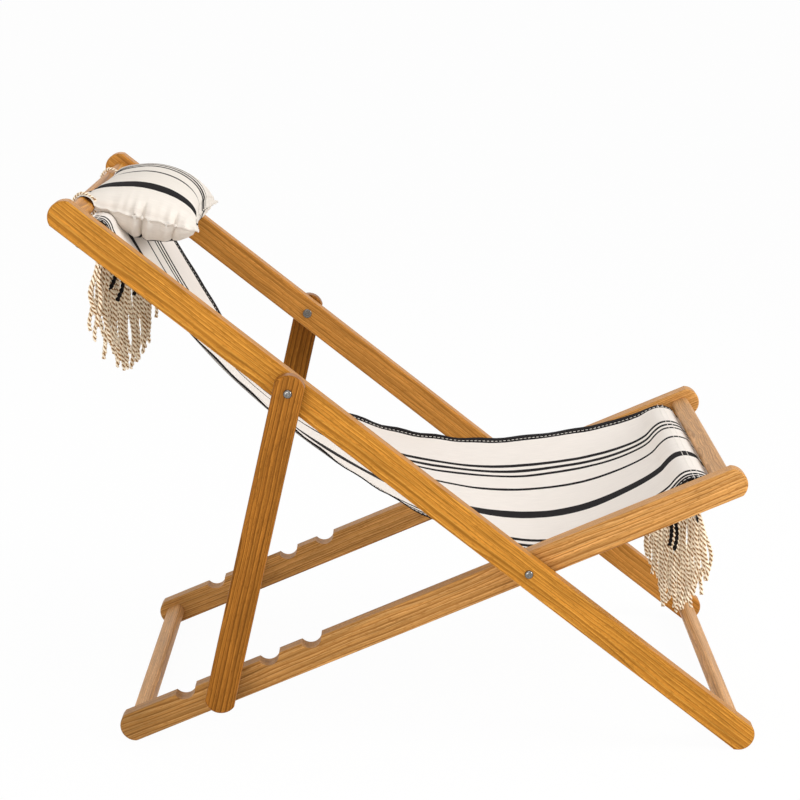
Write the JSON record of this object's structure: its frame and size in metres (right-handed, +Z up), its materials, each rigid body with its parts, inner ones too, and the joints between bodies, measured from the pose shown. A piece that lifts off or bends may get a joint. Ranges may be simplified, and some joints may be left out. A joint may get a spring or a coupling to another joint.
{
  "type": "deck chair",
  "caption": "Folding wooden deck chair with a striped cloth sling, knotted cord fringes, notched reclining prop and a tied head pillow.",
  "frame": {"origin": "on the floor, under the middle of the chair's overall box", "axes": "+X the way the sitter faces, +Y to the sitter's left, +Z up"},
  "size_m": [1.0213, 0.6562, 0.8347],
  "materials": {
    "oiled_wood": "oiled hardwood, straight grain",
    "dark_oiled_wood": "oiled hardwood, darker boards",
    "striped_cotton": "woven cotton canvas with dark stripes",
    "cotton_rope": "twisted natural cotton cord",
    "plated_steel": "bright plated steel"
  },
  "bodies": {
    "seat_frame": {"seat_rail_right": "oiled_wood", "seat_rail_left": "oiled_wood", "front_rail": "oiled_wood", "front_sling_rod": "oiled_wood", "rear_foot_bar": "oiled_wood", "front_lock_screws": "plated_steel", "sling_seat": "striped_cotton", "fringe_front": "cotton_rope"},
    "back_frame": {"back_rail_right": "oiled_wood", "back_rail_left": "oiled_wood", "top_rail": "oiled_wood", "top_sling_rod": "oiled_wood", "front_foot_bar": "oiled_wood", "top_lock_screws": "plated_steel", "main_pivot_bolts": "plated_steel", "main_pivot_nuts": "plated_steel", "main_pivot_washers": "plated_steel", "prop_pivot_bolts": "plated_steel", "prop_pivot_nuts": "plated_steel", "prop_pivot_washers": "plated_steel", "sling_back": "striped_cotton", "fringe_top": "cotton_rope"},
    "prop_frame": {"prop_leg_right": "dark_oiled_wood", "prop_leg_left": "dark_oiled_wood", "prop_bar": "oiled_wood"},
    "pillow": {"pillow": "striped_cotton", "pillow_tie_right": "cotton_rope", "pillow_tie_left": "cotton_rope"}
  },
  "joints": [
    {"name": "back_fold", "type": "hinge", "parent": "seat_frame", "child": "back_frame", "pos_m": [0.17124, 0, 0.273], "axis": [0, 1, 0], "range_deg": [0, 112]},
    {"name": "prop_swing", "type": "hinge", "parent": "back_frame", "child": "prop_frame", "pos_m": [-0.17555, 0, 0.54785], "axis": [0, 1, 0], "range_deg": [0, 105]},
    {"name": "pillow_flip", "type": "hinge", "parent": "back_frame", "child": "pillow", "pos_m": [-0.48159, 0, 0.7904], "axis": [0, -1, 0], "range_deg": [0, 150]}
  ],
  "couplings": [
    {"joint": "prop_swing", "follows": "back_fold", "ratio": 0.93}
  ]
}
